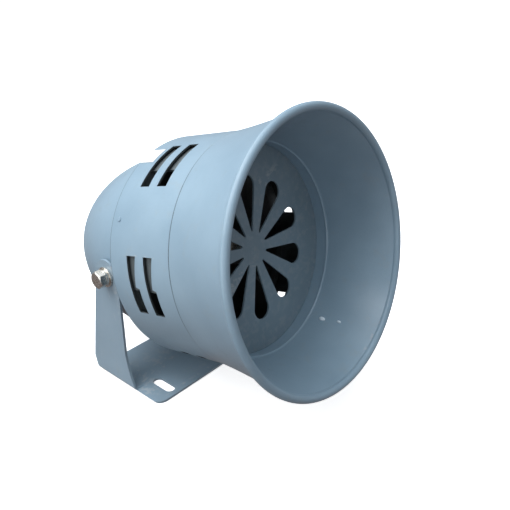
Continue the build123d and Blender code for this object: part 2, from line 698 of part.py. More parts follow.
def terminal_block():
    """Moulded block for the supply wires, on the back of the motor plate."""
    width, length, height = TERMINAL_SIZE
    place = Location((0, PLATE_BACK + length / 2, -TERMINAL_DROP))
    block = place * fillet(Box(width, length, height).edges().filter_by(Axis.Y), 1.0)
    back = PLATE_BACK + length
    for x in (-TERMINAL_PITCH, 0, TERMINAL_PITCH):
        radius = TERMINAL_SCREW_R + 2 * FIT_GAP
        block -= rod(radius, back - TERMINAL_SCREW_SUNK, back + 1, x, -TERMINAL_DROP)
        wire_hole = Box(1.5 * TERMINAL_SCREW_R, length / 2, length / 2)
        block -= Location((x, back - length / 2, -TERMINAL_DROP - height / 2)) * wire_hole
    return block


def terminal_screws():
    """Clamping screws sunk in the terminal block."""
    seat = PLATE_BACK + TERMINAL_SIZE[1] - TERMINAL_SCREW_SUNK
    top = seat + TERMINAL_SCREW_R
    slot = Location((0, top, 0)) * Box(3 * TERMINAL_SCREW_R, 1.2, 0.7)
    screw = ring(0, TERMINAL_SCREW_R, seat, top) - slot
    return [Location((x, 0, -TERMINAL_DROP)) * screw for x in (-TERMINAL_PITCH, 0, TERMINAL_PITCH)]


# ---- pivot hardware --------------------------------------------------------

def pivot_spacers():
    """Rings between the arms and the housing, hollowed to the housing's curve."""
    outer = FLAT_WASHER_R
    spacer = side_rod(outer, DOME_R - 2, ARM_IN - 0.05, PIVOT_STATION)
    spacer -= side_rod(BOLT_R + FIT_GAP, DOME_R - 5, ARM_OUT, PIVOT_STATION)
    spacer -= dome_block(0, FLANGE_FRONT)
    return around(largest(spacer), 2)


def flat_washers():
    """Washers on the outer faces of the arms."""
    inner = ARM_OUT + 0.05
    washer = side_rod(FLAT_WASHER_R, inner, ARM_OUT + FLAT_WASHER_T, PIVOT_STATION)
    washer -= side_rod(BOLT_R + FIT_GAP, ARM_OUT - 5, ARM_OUT + 5, PIVOT_STATION)
    return around(washer, 2)


def spring_washers():
    """Split washers under the bolt heads."""
    inner = ARM_OUT + FLAT_WASHER_T
    washer = side_rod(SPRING_WASHER_R, inner, inner + SPRING_WASHER_T, PIVOT_STATION)
    washer -= side_rod(BOLT_R + FIT_GAP, ARM_OUT - 5, ARM_OUT + 8, PIVOT_STATION)
    split = Location((-inner, PIVOT_STATION, SPRING_WASHER_R)) * Box(8, SPRING_WASHER_SPLIT, SPRING_WASHER_R)
    return around(washer - split, 2)


def pivot_bolts():
    """Hex-head bolts through the arms into the nuts inside the housing."""
    seat = ARM_OUT + FLAT_WASHER_T + SPRING_WASHER_T
    head = side_hexagon(BOLT_HEAD_AF, seat, seat + BOLT_HEAD_H, PIVOT_STATION)
    low = (Align.CENTER, Align.CENTER, Align.MIN)
    cone = Cone(BOLT_HEAD_AF, BOLT_HEAD_AF / 2 - 0.4, BOLT_HEAD_H, align=low)
    crown = Location((-seat, PIVOT_STATION, 0)) * Rot(0, -90, 0) * cone
    shank = side_rod(BOLT_R, DOME_IN - NUT_H - 3, seat + 0.5, PIVOT_STATION)
    return around((head & crown) + shank, 2)


def pivot_nuts():
    """Weld nuts inside the housing."""
    outer = DOME_IN - 1.0
    nut = side_hexagon(NUT_AF, outer - NUT_H, outer, PIVOT_STATION)
    nut -= side_rod(BOLT_R, outer - NUT_H - 1, outer + 1, PIVOT_STATION)
    return around(nut, 2)


# ---- label -----------------------------------------------------------------

def label():
    """Blank sticker on the body between the slots and the rear edge."""
    low, high = LABEL_ANGLES
    start, end = LABEL_STATIONS
    sheet = ring(BODY_R + RUN_GAP, BODY_R + LABEL_T, start, end) & wedge(high - low)
    return Rot(0, (low + high) / 2, 0) * sheet


# ---- bracket ---------------------------------------------------------------

def arm_outline():
    """Side view of an arm: round top, upright front edge sweeping out to the foot, raked rear edge."""
    foot = FIXING_AHEAD - ARM_FRONT
    waist = FIXING_AHEAD - ARM_WAIST
    widest = FIXING_AHEAD + ARM_REAR
    rear = FIXING_AHEAD + BASE_REAR
    low = -1.0
    trunk = Polyline((waist, low), (waist, ARM_FLARE), (widest, ARM_REAR_HEIGHT), (rear, low), close=True)
    round_top = Location((FIXING_AHEAD, PIVOT_HEIGHT)) * Circle(ARM_TOP_R)
    arm = make_hull(trunk.edges() + round_top.edges())
    flare = make_face(
        [
            TangentArc((waist, ARM_FLARE), (foot, BASE_T), tangent=(0, -1)),
            Polyline((foot, BASE_T), (foot, low), (waist, low), (waist, ARM_FLARE)),
        ]
    )
    return arm + flare


def bracket():
    """U bracket bent from one strip: a base with two fixing slots and two tapered arms."""
    rear = FIXING_AHEAD + BASE_REAR
    widest = FIXING_AHEAD + ARM_REAR
    front = FIXING_AHEAD - BASE_FRONT
    top = PIVOT_HEIGHT + ARM_TOP_R
    width = 2 * ARM_OUT
    outer = fillet(Rectangle(width, 2 * top).vertices(), BEND_R + BASE_T)
    inner = fillet(Rectangle(2 * ARM_IN, 2 * top - 2 * BASE_T).vertices(), BEND_R)
    across = Plane(origin=(0, widest, top), x_dir=(1, 0, 0), z_dir=(0, -1, 0))
    channel = extrude(across * (outer - inner), widest - front)
    side = Plane(origin=(-ARM_OUT - 5, 0, 0), x_dir=(0, 1, 0), z_dir=(1, 0, 0))
    arms = channel & extrude(side * arm_outline(), width + 10)
    sheet = Location((0, (front + rear) / 2)) * Rectangle(width, rear - front)
    corners = sheet.vertices().sort_by(Axis.Y)[:2]
    floor = channel & extrude(fillet(corners, BASE_CORNER_R), BASE_T)
    strip = arms + floor - relief_notches()
    strip -= [Location((x, 0, 0)) * fixing_slot() for x in (-FIXING_SPACING / 2, FIXING_SPACING / 2)]
    pivot = Location((0, FIXING_AHEAD, PIVOT_HEIGHT)) * Rot(0, 90, 0)
    return strip - pivot * Cylinder(BOLT_R + RUN_GAP, width + 10)


def fixing_slot():
    """A slot that runs front to back, for an M6 fixing."""
    slot = SlotOverall(FIXING_LENGTH, FIXING_WIDTH, rotation=90)
    return extrude(slot, BASE_T + 2, both=True)


def relief_notches():
    """Small bend reliefs where the front of each arm meets the base."""
    notch = Cylinder(RELIEF_R, 4 * (BEND_R + BASE_T))
    height = BASE_T + RELIEF_R / 2
    place = (FIXING_AHEAD - ARM_FRONT, height)
    return [Location((x, *place)) * Rot(0, 90, 0) * notch for x in (-ARM_OUT, ARM_OUT)]


# ---- build -----------------------------------------------------------------

save("mounting_bracket", bracket())

housing = rear_housing()
HEAD_NODES = {
    "horn": horn(),
    "horn_shell": horn_shell(),
    "slotted_body": slotted_body(),
    "stator_plate": stator_plate(),
    "stator_rivets": stator_rivets(),
    "rear_housing": housing,
    "cable_grommet": cable_grommet(housing),
    "flange_gasket": gasket(),
    "motor_plate": motor_plate(),
    "flange_screws": flange_screws(),
    "flange_nuts": flange_nuts(),
    "side_rivets": side_rivets(),
    "rotor": rotor(),
    "rotor_washer": rotor_washer(),
    "rotor_nut": rotor_nut(),
    "motor_shaft": motor_shaft(),
    "armature_core": armature_core(),
    "armature_windings": armature_windings(),
    "commutator": commutator(),
    "field_core": field_core(),
    "field_coils": field_coils(),
    "front_end_bell": front_end_bell(),
    "rear_end_bell": rear_end_bell(),
    "bushings": bushings(),
    "through_bolts": through_bolts(),
    "motor_screws": motor_screws(),
    "brush_holders": brush_holders(),
    "brushes": brushes(),
    "brush_caps": brush_caps(),
    "terminal_block": terminal_block(),
    "terminal_screws": terminal_screws(),
    "pivot_bolts": pivot_bolts(),
    "spring_washers": spring_washers(),
    "flat_washers": flat_washers(),
    "pivot_spacers": pivot_spacers(),
    "pivot_nuts": pivot_nuts(),
    "label": label(),
}
for node_name, node_solids in HEAD_NODES.items():
    save(node_name, node_solids, HEAD)
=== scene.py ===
import json
import math

import bpy
from mathutils import Matrix, Vector


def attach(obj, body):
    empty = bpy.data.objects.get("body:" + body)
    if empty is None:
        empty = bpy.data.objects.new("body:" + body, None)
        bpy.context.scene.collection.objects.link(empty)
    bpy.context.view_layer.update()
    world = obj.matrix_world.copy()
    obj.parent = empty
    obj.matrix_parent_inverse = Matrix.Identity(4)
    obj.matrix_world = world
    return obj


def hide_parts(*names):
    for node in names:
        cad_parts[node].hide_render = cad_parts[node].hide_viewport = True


# ---- The siren as packed ----------------------------------------------------
# A motor siren: horn, slotted drum and domed motor housing on one axis, tilting in a
# U bracket.  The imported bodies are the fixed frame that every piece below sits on.

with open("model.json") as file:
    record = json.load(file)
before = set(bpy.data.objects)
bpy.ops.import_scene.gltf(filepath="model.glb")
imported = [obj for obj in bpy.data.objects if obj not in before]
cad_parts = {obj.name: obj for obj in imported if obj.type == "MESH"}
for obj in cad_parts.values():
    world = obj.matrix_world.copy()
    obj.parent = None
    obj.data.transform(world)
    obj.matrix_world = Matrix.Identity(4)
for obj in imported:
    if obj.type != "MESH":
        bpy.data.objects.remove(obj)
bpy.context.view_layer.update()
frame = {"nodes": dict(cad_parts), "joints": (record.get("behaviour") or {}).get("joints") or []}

MM = 0.001
PIVOT_STATION = 119 * MM    # pivot axis behind the lip of the horn
spin = next(joint for joint in frame["joints"] if joint["name"] == "rotor_spin")
mouth_way = Vector(spin["axis"])
HEAD_TILT = math.atan2(mouth_way.z, -mouth_way.y)
HEAD_PLACE = (
    Matrix.Translation(Vector(spin["pos_m"]))
    @ Matrix.Rotation(-HEAD_TILT, 4, "X")
    @ Matrix.Translation((0, -PIVOT_STATION, 0))
)

# ---- Table, lamps and camera ------------------------------------------------
# The siren stands on a plain pale table in a white studio.  A wide soft lamp hangs to the
# left and a little behind, so the drum's side is bright and the horn looks into shade.

TARGET = Vector((0.0189, -0.0211, 0.0784))
VIEW_AZIMUTH = math.radians(-49.74)
VIEW_ELEVATION = math.radians(25.07)
VIEW_DISTANCE = 0.380


def towards(azimuth, elevation):
    """Direction to a point seen at this azimuth and elevation, in radians."""
    level = math.cos(elevation)
    return Vector((math.sin(azimuth) * level, -math.cos(azimuth) * level, math.sin(elevation)))


sight = towards(VIEW_AZIMUTH, VIEW_ELEVATION)
bpy.ops.object.camera_add(
    location=TARGET + sight * VIEW_DISTANCE,
    rotation=sight.to_track_quat("Z", "Y").to_euler(),
)
camera = bpy.context.object
camera.data.lens = 40.18
camera.data.sensor_width = 36
camera.data.clip_start = 0.01
bpy.context.scene.camera = camera
bpy.context.scene.view_settings.view_transform = "Standard"

bpy.ops.mesh.primitive_plane_add(size=80, location=(0, 0, 0))
table = bpy.context.object
table.name = "table"
table_white = bpy.data.materials.new("table_white")
table_white.use_nodes = True
table_shader = table_white.node_tree.nodes["Principled BSDF"]
table_shader.inputs["Base Color"].default_value = (0.86, 0.86, 0.86, 1)
table_shader.inputs["Roughness"].default_value = 0.9
table_shader.inputs["Emission Color"].default_value = (1, 1, 1, 1)
table_shader.inputs["Emission Strength"].default_value = 0.74
table.data.materials.append(table_white)
table.visible_diffuse = False
table.visible_glossy = False

studio = bpy.data.worlds.new("studio")
studio.use_nodes = True
sky = studio.node_tree.nodes.new("ShaderNodeValToRGB")
sky.color_ramp.interpolation = "EASE"
for element, (height, colour) in zip(
    (*sky.color_ramp.elements, sky.color_ramp.elements.new(0.5)),
    ((0.0, (0.18, 0.135, 0.12, 1)), (0.5, (0.27, 0.285, 0.30, 1)), (1.0, (0.40, 0.44, 0.48, 1))),
):
    element.position = height
    element.color = colour
sky_way = studio.node_tree.nodes.new("ShaderNodeTexCoord")
sky_height = studio.node_tree.nodes.new("ShaderNodeSeparateXYZ")
sky_half = studio.node_tree.nodes.new("ShaderNodeMapRange")
sky_half.inputs["From Min"].default_value = -1
studio.node_tree.links.new(sky_way.outputs["Generated"], sky_height.inputs[0])
studio.node_tree.links.new(sky_height.outputs["Z"], sky_half.inputs["Value"])
studio.node_tree.links.new(sky_half.outputs[0], sky.inputs[0])
studio.node_tree.links.new(sky.outputs[0], studio.node_tree.nodes["Background"].inputs["Color"])
bpy.context.scene.world = studio


def hang_lamp(name, azimuth, elevation, distance, size, power):
    """A square soft lamp that looks at the siren."""
    way = towards(math.radians(azimuth), math.radians(elevation))
    bpy.ops.object.light_add(
        type="AREA",
        location=TARGET + way * distance,
        rotation=way.to_track_quat("Z", "Y").to_euler(),
    )
    lamp = bpy.context.object
    lamp.name = name
    lamp.data.size = size
    lamp.data.energy = power


hang_lamp("wide_lamp", -118, 50, 1.3, 1.0, 11.5)
hang_lamp("top_lamp", -60, 78, 1.5, 1.1, 7)
hang_lamp("back_lamp", 178, 60, 1.5, 1.2, 9)
hang_lamp("side_lamp", -98, 4, 1.2, 0.7, 3.4)
hang_lamp("front_lamp", -50, 6, 1.5, 0.7, 2.2)


# ---- Motor, fixed pieces ----------------------------------------------------
# A two-pole series motor: stacked steel laminations, enamelled copper coils and two cast
# end bells clamped by long screws.  It is bolted to the plate behind the rotor.

class Amount:
    """A value that changes over a surface; sums and products of it add Math nodes."""

    def __init__(self, finish, socket):
        self.finish = finish
        self.socket = socket

    def combine(self, operation, first, second):
        return self.finish.node("Math", {"operation": operation}, {0: first, 1: second})

    def __add__(self, other):
        return self.combine("ADD", self, other)

    def __radd__(self, other):
        return self.combine("ADD", other, self)

    def __sub__(self, other):
        return self.combine("SUBTRACT", self, other)

    def __rsub__(self, other):
        return self.combine("SUBTRACT", other, self)

    def __mul__(self, other):
        return self.combine("MULTIPLY", self, other)

    def __rmul__(self, other):
        return self.combine("MULTIPLY", other, self)


class Finish:
    """A surface finish: a Principled shader fed by patterns on Object coordinates."""

    def __init__(self, name, metallic=0.0, specular=0.5):
        self.material = bpy.data.materials.new(name)
        self.material.use_nodes = True
        self.tree = self.material.node_tree
        self.shader = self.tree.nodes["Principled BSDF"]
        self.shader.inputs["Metallic"].default_value = metallic
        self.shader.inputs["Specular IOR Level"].default_value = specular
        self.place = self.node("TexCoord", output="Object")

    def node(self, kind, settings=None, sockets=None, output=0):
        """Any shader node: its settings first, then its sockets' values or links."""
        made = self.tree.nodes.new("ShaderNode" + kind)
        for key, value in (settings or {}).items():
            setattr(made, key, value)
        for key, value in (sockets or {}).items():
            if isinstance(value, Amount):
                self.tree.links.new(value.socket, made.inputs[key])
            else:
                made.inputs[key].default_value = value
        return Amount(self, made.outputs[output])

    def cloud(self, scale, detail=3.0, roughness=0.5, place=None):
        """Soft noise from 0 to 1; scale is in blotches per metre."""
        sockets = {"Vector": place or self.place, "Scale": scale, "Detail": detail, "Roughness": roughness}
        return self.node("TexNoise", {"noise_dimensions": "3D"}, sockets)

    def ramp(self, amount, low, high):
        """0 below low, 1 above high."""
        return self.node("MapRange", {"clamp": True}, {"Value": amount, "From Min": low, "From Max": high})

    def blend(self, share, first, second):
        """A colour between two colours."""
        colours = {6: first, 7: second}
        for key, value in colours.items():
            if isinstance(value, tuple):
                colours[key] = (*value, 1)
        return self.node("Mix", {"data_type": "RGBA"}, {0: share, **colours}, output=2)

    def coat(self, colour, roughness, height=None, depth=0.0):
        """Feeds the shader: colour, roughness, and relief whose depth is in metres."""
        for key, value in (("Base Color", colour), ("Roughness", roughness)):
            if isinstance(value, Amount):
                self.tree.links.new(value.socket, self.shader.inputs[key])
            else:
                self.shader.inputs[key].default_value = (*value, 1) if isinstance(value, tuple) else value
        if height is not None:
            bump = self.node("Bump", None, {"Strength": 1.0, "Distance": depth, "Height": height})
            self.tree.links.new(bump.socket, self.shader.inputs["Normal"])

    def along_head(self):
        """Object coordinates turned so that Y runs back along the head's axis."""
        return self.node(
            "Mapping",
            {"vector_type": "TEXTURE"},
            {"Vector": self.place, "Location": HEAD_PLACE.translation, "Rotation": (-HEAD_TILT, 0, 0)},
        )


def dress(node, finish):
    """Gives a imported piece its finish."""
    node_object = frame["nodes"][node]
    for slot in node_object.material_slots:
        slot.material = finish.material


laminations = Finish("varnished_laminations", metallic=0.85)
sheets = laminations.node(
    "TexWave",
    {"wave_type": "BANDS", "bands_direction": "Y", "wave_profile": "SAW"},
    {"Vector": laminations.along_head(), "Scale": 320.0, "Distortion": 0.4, "Detail": 1.0},
)
varnish = laminations.cloud(70, 4)
laminations.coat(
    laminations.blend(varnish, (0.12, 0.11, 0.10), (0.26, 0.25, 0.24)),
    0.35 + sheets * 0.12 + varnish * 0.15,
    sheets,
    0.00012,
)
dress("field_core", laminations)
dress("armature_core", laminations)

coil_copper = Finish("enamelled_copper", metallic=0.7)
strands = coil_copper.node(
    "TexWave",
    {"wave_type": "BANDS", "bands_direction": "DIAGONAL", "wave_profile": "SIN"},
    {"Vector": coil_copper.place, "Scale": 420.0, "Distortion": 2.0, "Detail": 2.0},
)
shellac = coil_copper.cloud(110, 3)
coil_copper.coat(
    coil_copper.blend(shellac, (0.33, 0.10, 0.035), (0.60, 0.24, 0.09)),
    0.25 + shellac * 0.25,
    strands,
    0.0003,
)
dress("field_coils", coil_copper)
dress("armature_windings", coil_copper)

commutator_copper = Finish("commutator_copper", metallic=1.0)
track = commutator_copper.cloud(900, 2, place=commutator_copper.along_head())
commutator_copper.coat(
    commutator_copper.blend(track, (0.42, 0.19, 0.10), (0.70, 0.38, 0.22)),
    0.22 + track * 0.2,
    track,
    0.00003,
)
dress("commutator", commutator_copper)

cast_aluminium = Finish("cast_aluminium", metallic=0.9)
sand = cast_aluminium.cloud(650, 5, 0.6)
stain = cast_aluminium.cloud(45, 3)
cast_aluminium.coat(
    cast_aluminium.blend(stain, (0.30, 0.31, 0.32), (0.48, 0.49, 0.50)),
    0.48 + sand * 0.2,
    sand,
    0.00022,
)
dress("front_end_bell", cast_aluminium)
dress("rear_end_bell", cast_aluminium)

bronze = Finish("sintered_bronze", metallic=0.9)
pores = bronze.node("TexVoronoi", {"feature": "F1"}, {"Vector": bronze.place, "Scale": 1400.0})
bronze.coat(
    bronze.blend(pores, (0.22, 0.13, 0.05), (0.55, 0.36, 0.16)),
    0.35 + pores * 0.3,
    pores,
    0.00004,
)
dress("bushings", bronze)

phenolic = Finish("phenolic_moulding", specular=0.45)
filler = phenolic.cloud(380, 5, 0.65)
phenolic.coat(
    phenolic.blend(phenolic.ramp(filler, 0.35, 0.7), (0.018, 0.013, 0.011), (0.075, 0.050, 0.036)),
    0.30 + filler * 0.25,
    filler,
    0.00004,
)
for node in ("brush_holders", "brush_caps", "terminal_block"):
    dress(node, phenolic)

carbon = Finish("pressed_carbon", metallic=0.2)
grit = carbon.cloud(1800, 3, 0.7)
carbon.coat(carbon.blend(grit, (0.012, 0.012, 0.013), (0.05, 0.05, 0.055)), 0.42 + grit * 0.25, grit, 0.00003)
dress("brushes", carbon)

ground_steel = Finish("ground_steel", metallic=1.0)
shaft_station = ground_steel.node("SeparateXYZ", None, {0: ground_steel.along_head()}, output=1)
grinding = ground_steel.node(
    "TexNoise",
    {"noise_dimensions": "1D"},
    {"W": shaft_station * 9000, "Detail": 4.0},
)
ground_steel.coat(
    ground_steel.blend(ground_steel.cloud(60), (0.42, 0.42, 0.43), (0.60, 0.60, 0.60)),
    0.20 + grinding * 0.15,
    grinding,
    0.00001,
)
dress("motor_shaft", ground_steel)

zinc = Finish("bright_zinc", metallic=1.0)
passivation = zinc.cloud(160, 3)
scuffs = zinc.cloud(1500, 4, 0.7)
zinc.coat(
    zinc.blend(passivation, (0.60, 0.57, 0.50), (0.83, 0.82, 0.79)),
    0.16 + scuffs * 0.16 + passivation * 0.08,
    scuffs,
    0.00002,
)
for node in ("through_bolts", "motor_screws", "terminal_screws", "flange_nuts", "pivot_nuts"):
    dress(node, zinc)
for node in ("rotor_nut", "rotor_washer"):
    dress(node, zinc)

# ---- Motor plate and gasket -------------------------------------------------
# The bulkhead between rotor and motor, pressed from galvanised sheet with a short forward
# rim that the drum is riveted to.  A fibre ring seals it against the dome's flange.

galvanised = Finish("galvanised_sheet", metallic=0.85)
spangle_place = {"Vector": galvanised.place, "Scale": 190.0}
spangle = galvanised.node("TexVoronoi", {"feature": "F1"}, spangle_place, output=1)
spangle_shade = galvanised.node("RGBToBW", None, {0: spangle})
galvanised.coat(
    galvanised.blend(spangle_shade, (0.26, 0.27, 0.28), (0.42, 0.43, 0.44)),
    0.34 + spangle_shade * 0.18,
    galvanised.cloud(900, 3),
    0.00002,
)
dress("motor_plate", galvanised)

fibre = Finish("gasket_fibre", specular=0.25)
pulp = fibre.cloud(900, 6, 0.7)
fibre.coat(fibre.blend(pulp, (0.16, 0.13, 0.09), (0.34, 0.29, 0.21)), 0.8 + pulp * 0.15, pulp, 0.00008)
dress("flange_gasket", fibre)


# ---- Chopper rotor ----------------------------------------------------------
# The die-cast chopper wheel: back disc, hub, six vanes and a shutter on each vane's end.
# It is pressed on the shaft and held by a washer and a nut.

def begin():
    """Object mode, with nothing selected."""
    if bpy.context.object and bpy.context.object.mode != "OBJECT":
        bpy.ops.object.mode_set(mode="OBJECT")
    bpy.ops.object.select_all(action="DESELECT")


def apply_modifier(piece, kind, **settings):
    """Adds a modifier, sets it and applies it."""
    bpy.ops.object.modifier_add(type=kind)
    modifier = piece.modifiers[-1]
    for key, value in settings.items():
        setattr(modifier, key, value)
    bpy.ops.object.modifier_apply(modifier=modifier.name)


def cut_with(piece, cutter):
    """Takes the cutter out of the piece, and out of the scene."""
    begin()
    piece.select_set(True)
    bpy.context.view_layer.objects.active = piece
    apply_modifier(piece, "BOOLEAN", operation="DIFFERENCE", object=cutter, solver="EXACT")
    bpy.data.objects.remove(cutter)


def soften(piece, width, segments=2, angle=38):
    """Rounds the edges of a piece as pressing, casting and paint leave them."""
    apply_modifier(
        piece,
        "BEVEL",
        width=width,
        segments=segments,
        limit_method="ANGLE",
        angle_limit=math.radians(angle),
        use_clamp_overlap=True,
        miter_outer="MITER_ARC",
        harden_normals=False,
    )
    bpy.ops.object.shade_smooth_by_angle(angle=math.radians(32))
    apply_modifier(piece, "WEIGHTED_NORMAL", mode="FACE_AREA", weight=80, keep_sharp=True)


def copy_of(node, name):
    """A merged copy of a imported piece, to be worked on; its flat faces are whole again."""
    begin()
    piece = bpy.data.objects.new(name, frame["nodes"][node].data.copy())
    bpy.context.scene.collection.objects.link(piece)
    piece.data.materials.clear()
    piece.select_set(True)
    bpy.context.view_layer.objects.active = piece
    bpy.ops.object.mode_set(mode="EDIT")
    bpy.ops.mesh.customdata_custom_splitnormals_clear()
    bpy.ops.mesh.select_all(action="SELECT")
    bpy.ops.mesh.remove_doubles(threshold=0.000002)
    bpy.ops.mesh.dissolve_limited(angle_limit=math.radians(0.4))
    bpy.ops.object.mode_set(mode="OBJECT")
    return piece


def fit(piece, body, finish, slot, *nodes):
    """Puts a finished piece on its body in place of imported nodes."""
    if not piece.data.materials:
        piece.data.materials.append(finish.material)
    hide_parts(*nodes)
    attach(piece, body)


rotor_wheel = copy_of("rotor", "chopper_wheel")
soften(rotor_wheel, 0.4 * MM)
rotor_casting = Finish("rotor_casting", metallic=0.55)
skin_grain = rotor_casting.cloud(700, 5, 0.6)
# The casting's near-black colour is painted shade inside the drum and behind the petals.
dark_mottle = rotor_casting.cloud(60, 4)
rotor_parts = rotor_casting.along_head()
from_axis = rotor_casting.node("VectorMath", {"operation": "MULTIPLY"}, {0: rotor_parts, 1: (1, 0, 1)})
rotor_reach = rotor_casting.node("VectorMath", {"operation": "LENGTH"}, {0: from_axis}, output="Value")
# The lighter outer ends of the vanes are painted light, where light comes in through the slots.
slot_lit_end = rotor_casting.ramp(rotor_reach, 0.060, 0.066)
shade_dark_casting = rotor_casting.blend(dark_mottle, (0.022, 0.025, 0.026), (0.050, 0.054, 0.056))
rotor_casting.coat(
    rotor_casting.blend(slot_lit_end, shade_dark_casting, (0.135, 0.160, 0.170)),
    0.5 + skin_grain * 0.25,
    skin_grain,
    0.0002,
)
fit(rotor_wheel, "rotor", rotor_casting, "cast_rotor", "rotor")

# ---- Rear housing -----------------------------------------------------------
# The dome over the motor, deep drawn from sheet steel and sprayed with blue-grey enamel.
# Its flange lies on the gasket inside the drum's rear edge.

PAINT_LIGHT = (0.285, 0.405, 0.500)
PAINT_DEEP = (0.238, 0.348, 0.440)


def enamel(name, rings=0.0, light=PAINT_LIGHT, deep=PAINT_DEEP, shaded_seams=()):
    """Sprayed enamel: orange peel, blotches, dust nibs, spinning rings, and painted shade along the given
    seams.
    """
    paint = Finish(name, specular=0.5)
    peel = paint.cloud(520, 2, 0.45)
    blotch = paint.cloud(26, 4, 0.55)
    nibs = paint.ramp(paint.cloud(1500, 1, 0.3), 0.72, 0.78)
    grime = paint.ramp(paint.cloud(95, 5, 0.7), 0.56, 0.72)
    tone = paint.blend(paint.ramp(blotch, 0.3, 0.7), deep, light)
    edge = paint.ramp(paint.node("NewGeometry", output="Pointiness"), 0.53, 0.60)
    worn = edge * paint.ramp(paint.cloud(240, 4, 0.65), 0.50, 0.60)
    dust_wear_and_seam_shade = paint.blend(grime * 0.20, tone, (0.33, 0.35, 0.34))
    dust_wear_and_seam_shade = paint.blend(worn * 0.55, dust_wear_and_seam_shade, (0.46, 0.50, 0.52))
    height = peel + nibs * 0.7
    if rings or shaded_seams:
        station = paint.node("SeparateXYZ", None, {0: paint.along_head()}, output=1)
    # Painted shade: a dark line at each given seam, where two parts meet.
    for seam_station, half_width in shaded_seams:
        away = paint.node("Math", {"operation": "ABSOLUTE"}, {0: station - seam_station * MM})
        seam_shade = 1 - paint.ramp(away, half_width * MM, (half_width + 0.15) * MM)
        dust_wear_and_seam_shade = paint.blend(seam_shade * (0.6 + grime * 0.3), dust_wear_and_seam_shade, (0.030, 0.036, 0.042))
    if rings:
        spun_marks = paint.node("TexNoise", {"noise_dimensions": "1D"}, {"W": station * 420, "Detail": 2.0})
        height = height + spun_marks * rings
    paint.coat(dust_wear_and_seam_shade, 0.27 + grime * 0.16 + blotch * 0.10 + worn * 0.15, height, 0.000035)
    return paint


def spun(name, outline, closed=False, facets=192):
    """A sheet spun from a ring: each further point extrudes the ring and sizes it."""
    begin()
    radius, station = outline[0]
    bpy.ops.mesh.primitive_circle_add(
        vertices=facets,
        radius=radius * MM,
        location=(0, station * MM, 0),
        rotation=(math.pi / 2, 0, 0),
    )
    piece = bpy.context.object
    piece.name = name
    bpy.ops.object.transform_apply(location=True, rotation=True, scale=True)
    bpy.ops.object.mode_set(mode="EDIT")
    bpy.ops.mesh.select_all(action="SELECT")
    for (last_radius, last_station), (radius, station) in zip(outline, outline[1:]):
        step = (0, (station - last_station) * MM, 0)
        bpy.ops.mesh.extrude_region_move(TRANSFORM_OT_translate={"value": step})
        growth = radius / last_radius
        bpy.ops.transform.resize(value=(growth, 1, growth), center_override=(0, station * MM, 0))
    if closed:
        bpy.ops.mesh.merge(type="CENTER")
    bpy.ops.mesh.select_all(action="SELECT")
    bpy.ops.mesh.normals_make_consistent(inside=False)
    bpy.ops.object.mode_set(mode="OBJECT")
    return piece


def face_skin(piece, outwards):
    """Turns a spun sheet so that its seen side faces away from the axis, or towards it."""
    lean = sum(
        face.area * face.normal.dot(Vector((face.center.x, 0, face.center.z)).normalized())
        for face in piece.data.polygons
    )
    if (lean > 0) != outwards:
        bpy.ops.object.mode_set(mode="EDIT")
        bpy.ops.mesh.select_all(action="SELECT")
        bpy.ops.mesh.flip_normals()
        bpy.ops.object.mode_set(mode="OBJECT")


def thicken(piece, thickness, edge=0.25 * MM):
    """Gives a sheet its wall behind the seen side, with rounded edges."""
    apply_modifier(piece, "SOLIDIFY", thickness=thickness, offset=-1, use_even_offset=True)
    soften(piece, edge, angle=50)


def place_on_head(piece):
    """Moves a piece modelled along the stations to its place on the tilted head."""
    piece.matrix_world = HEAD_PLACE
    bpy.ops.object.transform_apply(location=True, rotation=True, scale=True)


def arc(centre, radius, start, end, steps):
    """Points (radius, station) of an arc; angles from the radial direction towards the rear."""
    points = []
    for step in range(steps + 1):
        angle = math.radians(start + (end - start) * step / steps)
        points.append((centre[0] + radius * math.cos(angle), centre[1] + radius * math.sin(angle)))
    return points


DOME_R = 62.5
DOME_START = 112.0
DOME_NOSE_R = 49.5
DOME_POLE = 202.0
dome_nose = DOME_POLE - DOME_NOSE_R
dome_rise = dome_nose - DOME_START
dome_side_r = (DOME_R**2 + dome_rise**2 - DOME_NOSE_R**2) / (2 * (DOME_R - DOME_NOSE_R))
dome_lean = math.degrees(math.atan2(dome_rise, dome_side_r - DOME_R))
dome_outline = [(70.5, 100.6), (66.0, 100.6)]
dome_outline += arc((65.0, 103.1), 2.5, 270, 180, 6)
dome_outline += [(DOME_R, 107.0)]
dome_outline += arc((DOME_R - dome_side_r, DOME_START), dome_side_r, 0, dome_lean, 18)
dome_outline += arc((0, dome_nose), DOME_NOSE_R, dome_lean, 89.6, 24)[1:]
dome = spun("rear_dome", dome_outline, closed=True)
face_skin(dome, outwards=True)
thicken(dome, 1.1 * MM)

GROMMET_STATION = 150.0
CABLE_HOLE_R = 5.6
CABLE_HOLE_DEPTH = 12
grommet_lean = math.asin((GROMMET_STATION - DOME_START) / dome_side_r)
grommet_radius = DOME_R - dome_side_r + dome_side_r * math.cos(grommet_lean)
begin()
bpy.ops.mesh.primitive_cylinder_add(
    vertices=48,
    radius=CABLE_HOLE_R * MM,
    depth=CABLE_HOLE_DEPTH * MM,
    location=(0, GROMMET_STATION * MM, -grommet_radius * MM),
    rotation=(grommet_lean, 0, 0),
)
cable_hole = bpy.context.object
cut_with(dome, cable_hole)
place_on_head(dome)
# The dark band on the dome's root, just behind the drum's rear edge, is painted shade.
dome_paint = enamel("dome_enamel", rings=0.5, shaded_seams=((101.2, 2.2),))
fit(dome, "head", dome_paint, "painted_sheet", "rear_housing")

# ---- Cable grommet ----------------------------------------------------------
# A black rubber bush pressed into the dome's underside, with a lip on each side of the
# sheet.  The supply cord itself isn't part of the set.

